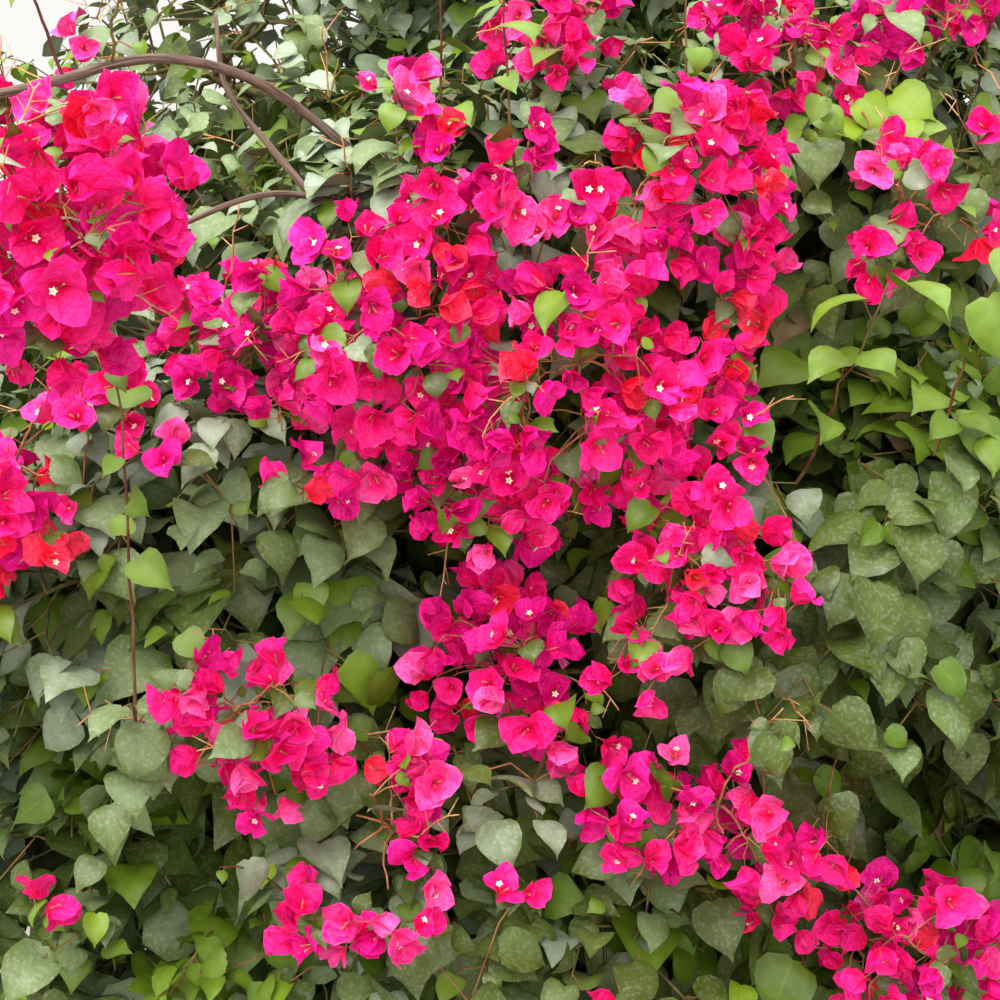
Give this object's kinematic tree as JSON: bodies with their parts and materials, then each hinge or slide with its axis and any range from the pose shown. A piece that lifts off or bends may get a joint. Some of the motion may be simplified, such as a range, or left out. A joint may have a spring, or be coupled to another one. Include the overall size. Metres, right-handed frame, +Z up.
{
  "type": "bougainvillea bush",
  "caption": "Free-growing bougainvillea bush: a short flared stem, arching boughs, masses of heart-shaped leaves and sprays of hot-pink papery bracts.",
  "frame": {"origin": "centre of the flat cut under the main stem, at ground level", "axes": "+Z up, -Y towards the flowering front, +X to the right seen from the front"},
  "size_m": [1.7906, 1.7398, 1.8252],
  "materials": {
    "bark": "rough fissured bark",
    "leaves": "matte leaf",
    "bracts": "papery, veined"
  },
  "bodies": {
    "root": {"main_stem": "bark", "bough_low_front": "bark", "bough_low_right": "bark", "bough_low_back_right": "bark", "bough_low_back_left": "bark", "bough_low_left": "bark", "bough_middle_front_left": "bark", "bough_middle_front_right": "bark", "bough_middle_right": "bark", "bough_middle_back": "bark", "bough_middle_left": "bark", "bough_high_front": "bark", "bough_high_right": "bark", "bough_high_back_right": "bark", "bough_high_back_left": "bark", "bough_high_left": "bark", "bough_leader": "bark", "cane_rise": "bark", "cane_reach": "bark", "foliage_low_front": "leaves", "foliage_low_right": "leaves", "foliage_low_back_right": "leaves", "foliage_low_back_left": "leaves", "foliage_low_left": "leaves", "foliage_middle_front_left": "leaves", "foliage_middle_front_right": "leaves", "foliage_middle_right": "leaves", "foliage_middle_back": "leaves", "foliage_middle_left": "leaves", "foliage_high_front": "leaves", "foliage_high_right": "leaves", "foliage_high_back_right": "leaves", "foliage_high_back_left": "leaves", "foliage_high_left": "leaves", "foliage_top_left": "leaves", "foliage_top_centre": "leaves", "foliage_top_right": "leaves", "blossom_centre_crown": "bracts", "blossom_centre_left": "bracts", "blossom_centre_heart": "bracts", "blossom_centre_right": "bracts", "blossom_centre_low_left": "bracts", "blossom_centre_low_right": "bracts", "blossom_under_centre": "bracts", "blossom_left_low": "bracts", "blossom_left_foot": "bracts", "blossom_right_low": "bracts", "blossom_right_foot": "bracts", "blossom_left_middle": "bracts", "blossom_left_edge": "bracts", "blossom_top_centre": "bracts", "blossom_top_right": "bracts", "blossom_top_corner": "bracts", "blossom_right_high": "bracts", "blossom_round_1": "bracts", "blossom_round_2": "bracts", "blossom_round_3": "bracts", "blossom_round_4": "bracts", "blossom_round_5": "bracts", "blossom_near_left": "bracts"}
  },
  "joints": []
}
